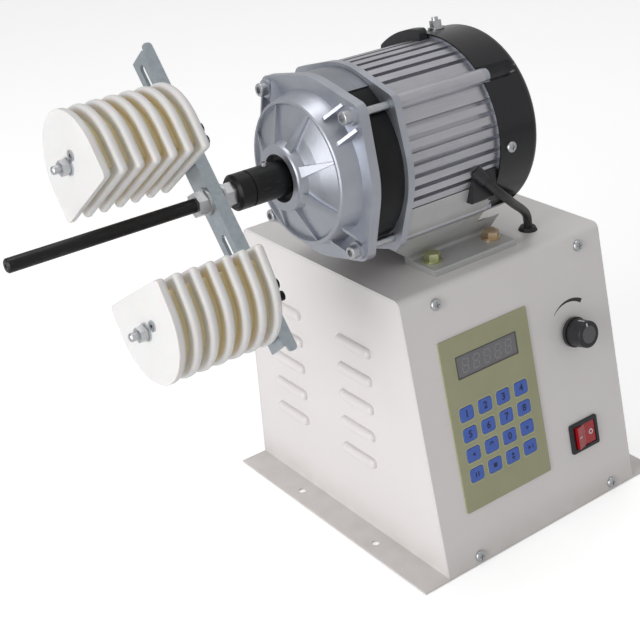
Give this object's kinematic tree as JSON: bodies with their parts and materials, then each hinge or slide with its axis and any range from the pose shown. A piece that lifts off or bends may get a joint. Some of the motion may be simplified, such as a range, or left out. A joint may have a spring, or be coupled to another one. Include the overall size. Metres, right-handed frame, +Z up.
{
  "type": "coil winding machine",
  "caption": "Benchtop wire coil winding machine: louvred cabinet with a keypad and knob, geared motor on top, and a spindle whose cross bar carries grooved winding formers.",
  "frame": {"origin": "middle of the four base-flange holes, at the underside of the base", "axes": "+X along the motor axis away from the spindle's tip, +Y away from the operator's panel, +Z up"},
  "size_m": [0.491, 0.2566, 0.4101],
  "materials": {
    "enamel": "warm light grey powder coat",
    "zinc_screws": "bright zinc plate",
    "yellow_zinc": "yellow zinc plate",
    "overlay": "olive grey-green printed film",
    "display": "grey display window",
    "circuit_board": "green solder mask",
    "potentiometer": "satin steel can",
    "knob": "matt black with a white pointer",
    "switch_plastic": "satin black",
    "rocker": "glossy red with white marks",
    "inlet_plastic": "matt black",
    "driver_case": "ribbed bare aluminium",
    "cast_aluminium": "silver-painted casting",
    "black_steel": "black oxide and black paint",
    "gear_steel": "machined steel",
    "bearing_steel": "ground steel",
    "seal_rubber": "black rubber",
    "lamination": "stacked steel sheet",
    "copper": "varnished copper wire",
    "fan_plastic": "black plastic",
    "nameplate": "blank satin plate",
    "black_plastic": "matt black",
    "lead_sheath": "black sheath",
    "steel_rod": "blackened steel",
    "zinc_plate": "zinc-plated steel",
    "nylon": "white nylon",
    "keycaps": "blue with navy signs"
  },
  "bodies": {
    "machine": {"chassis": "enamel", "cover": "enamel", "machine_screws": "zinc_screws", "motor_feet": "cast_aluminium", "foot_bolts": "yellow_zinc", "keypad_overlay": "overlay", "display_module": "display", "control_board": "circuit_board", "potentiometer": "potentiometer", "switch_body": "switch_plastic", "power_inlet": "inlet_plastic", "motor_driver": "driver_case", "motor_shell": "cast_aluminium", "motor_front_shield": "cast_aluminium", "gearbox_cover": "cast_aluminium", "rear_shield": "cast_aluminium", "ring_gear": "black_steel", "fan_cover": "black_steel", "ball_bearings": "bearing_steel", "oil_seal": "seal_rubber", "cable_grommet": "seal_rubber", "stator_core": "lamination", "stator_windings": "copper", "blank_nameplate": "nameplate", "terminal_box": "black_plastic", "lead_gland": "black_plastic", "motor_lead": "lead_sheath"},
    "spindle": {"planet_carrier": "gear_steel", "spindle_hub": "black_steel", "spindle_rod": "steel_rod", "spindle_nuts": "zinc_screws", "cross_bar": "zinc_plate"},
    "rotor": {"rotor_shaft": "gear_steel", "rotor_core": "lamination", "cooling_fan": "fan_plastic"},
    "former_a": {"former_a": "nylon", "former_a_bolts": "zinc_screws"},
    "former_b": {"former_b": "nylon", "former_b_bolts": "zinc_screws"},
    "knob": {"speed_knob": "knob"},
    "rocker": {"switch_rocker": "rocker"},
    "planet_1": {"planet_gear_1": "gear_steel"},
    "planet_2": {"planet_gear_2": "gear_steel"},
    "planet_3": {"planet_gear_3": "gear_steel"},
    "key_01": {"key_01": "keycaps"},
    "key_02": {"key_02": "keycaps"},
    "key_03": {"key_03": "keycaps"},
    "key_04": {"key_04": "keycaps"},
    "key_05": {"key_05": "keycaps"},
    "key_06": {"key_06": "keycaps"},
    "key_07": {"key_07": "keycaps"},
    "key_08": {"key_08": "keycaps"},
    "key_09": {"key_09": "keycaps"},
    "key_10": {"key_10": "keycaps"},
    "key_11": {"key_11": "keycaps"},
    "key_12": {"key_12": "keycaps"},
    "key_13": {"key_13": "keycaps"},
    "key_14": {"key_14": "keycaps"},
    "key_15": {"key_15": "keycaps"},
    "key_16": {"key_16": "keycaps"}
  },
  "joints": [
    {"name": "spindle_spin", "type": "hinge", "parent": "machine", "child": "spindle", "pos_m": [-0.16, 0, 0.311], "axis": [1, 0, 0], "continuous": true},
    {"name": "rotor_spin", "type": "hinge", "parent": "machine", "child": "rotor", "pos_m": [-0.04, 0, 0.311], "axis": [1, 0, 0], "continuous": true},
    {"name": "planet_spin_1", "type": "hinge", "parent": "spindle", "child": "planet_1", "pos_m": [-0.095, 0, 0.3485], "axis": [1, 0, 0], "continuous": true},
    {"name": "planet_spin_2", "type": "hinge", "parent": "spindle", "child": "planet_2", "pos_m": [-0.095, -0.03248, 0.29225], "axis": [1, 0, 0], "continuous": true},
    {"name": "planet_spin_3", "type": "hinge", "parent": "spindle", "child": "planet_3", "pos_m": [-0.095, 0.03248, 0.29225], "axis": [1, 0, 0], "continuous": true},
    {"name": "former_a_slide", "type": "slide", "parent": "spindle", "child": "former_a", "axis": [0, 0.6388, 0.7694], "range_m": [-0.0125, 0.0525]},
    {"name": "former_b_slide", "type": "slide", "parent": "spindle", "child": "former_b", "axis": [0, -0.6388, -0.7694], "range_m": [-0.031, 0.0235]},
    {"name": "speed_knob_turn", "type": "hinge", "parent": "machine", "child": "knob", "pos_m": [0.0593, -0.10358, 0.14865], "axis": [0, -0.9767, 0.2146], "range_deg": [-200, 80]},
    {"name": "power_rocker", "type": "hinge", "parent": "machine", "child": "rocker", "pos_m": [0.0559, -0.11004, 0.05864], "axis": [0, 0.2146, 0.9767], "range_deg": [-18, 0]},
    {"name": "key_01_press", "type": "slide", "parent": "machine", "child": "key_01", "axis": [0, 0.9767, -0.2146], "range_m": [0, 0.0005], "stiffness_N_per_m": 800},
    {"name": "key_02_press", "type": "slide", "parent": "machine", "child": "key_02", "axis": [0, 0.9767, -0.2146], "range_m": [0, 0.0005], "stiffness_N_per_m": 800},
    {"name": "key_03_press", "type": "slide", "parent": "machine", "child": "key_03", "axis": [0, 0.9767, -0.2146], "range_m": [0, 0.0005], "stiffness_N_per_m": 800},
    {"name": "key_04_press", "type": "slide", "parent": "machine", "child": "key_04", "axis": [0, 0.9767, -0.2146], "range_m": [0, 0.0005], "stiffness_N_per_m": 800},
    {"name": "key_05_press", "type": "slide", "parent": "machine", "child": "key_05", "axis": [0, 0.9767, -0.2146], "range_m": [0, 0.0005], "stiffness_N_per_m": 800},
    {"name": "key_06_press", "type": "slide", "parent": "machine", "child": "key_06", "axis": [0, 0.9767, -0.2146], "range_m": [0, 0.0005], "stiffness_N_per_m": 800},
    {"name": "key_07_press", "type": "slide", "parent": "machine", "child": "key_07", "axis": [0, 0.9767, -0.2146], "range_m": [0, 0.0005], "stiffness_N_per_m": 800},
    {"name": "key_08_press", "type": "slide", "parent": "machine", "child": "key_08", "axis": [0, 0.9767, -0.2146], "range_m": [0, 0.0005], "stiffness_N_per_m": 800},
    {"name": "key_09_press", "type": "slide", "parent": "machine", "child": "key_09", "axis": [0, 0.9767, -0.2146], "range_m": [0, 0.0005], "stiffness_N_per_m": 800},
    {"name": "key_10_press", "type": "slide", "parent": "machine", "child": "key_10", "axis": [0, 0.9767, -0.2146], "range_m": [0, 0.0005], "stiffness_N_per_m": 800},
    {"name": "key_11_press", "type": "slide", "parent": "machine", "child": "key_11", "axis": [0, 0.9767, -0.2146], "range_m": [0, 0.0005], "stiffness_N_per_m": 800},
    {"name": "key_12_press", "type": "slide", "parent": "machine", "child": "key_12", "axis": [0, 0.9767, -0.2146], "range_m": [0, 0.0005], "stiffness_N_per_m": 800},
    {"name": "key_13_press", "type": "slide", "parent": "machine", "child": "key_13", "axis": [0, 0.9767, -0.2146], "range_m": [0, 0.0005], "stiffness_N_per_m": 800},
    {"name": "key_14_press", "type": "slide", "parent": "machine", "child": "key_14", "axis": [0, 0.9767, -0.2146], "range_m": [0, 0.0005], "stiffness_N_per_m": 800},
    {"name": "key_15_press", "type": "slide", "parent": "machine", "child": "key_15", "axis": [0, 0.9767, -0.2146], "range_m": [0, 0.0005], "stiffness_N_per_m": 800},
    {"name": "key_16_press", "type": "slide", "parent": "machine", "child": "key_16", "axis": [0, 0.9767, -0.2146], "range_m": [0, 0.0005], "stiffness_N_per_m": 800}
  ],
  "couplings": [
    {"joint": "rotor_spin", "follows": "spindle_spin", "ratio": 5},
    {"joint": "planet_spin_1", "follows": "spindle_spin", "ratio": -2.6667},
    {"joint": "planet_spin_2", "follows": "spindle_spin", "ratio": -2.6667},
    {"joint": "planet_spin_3", "follows": "spindle_spin", "ratio": -2.6667}
  ]
}
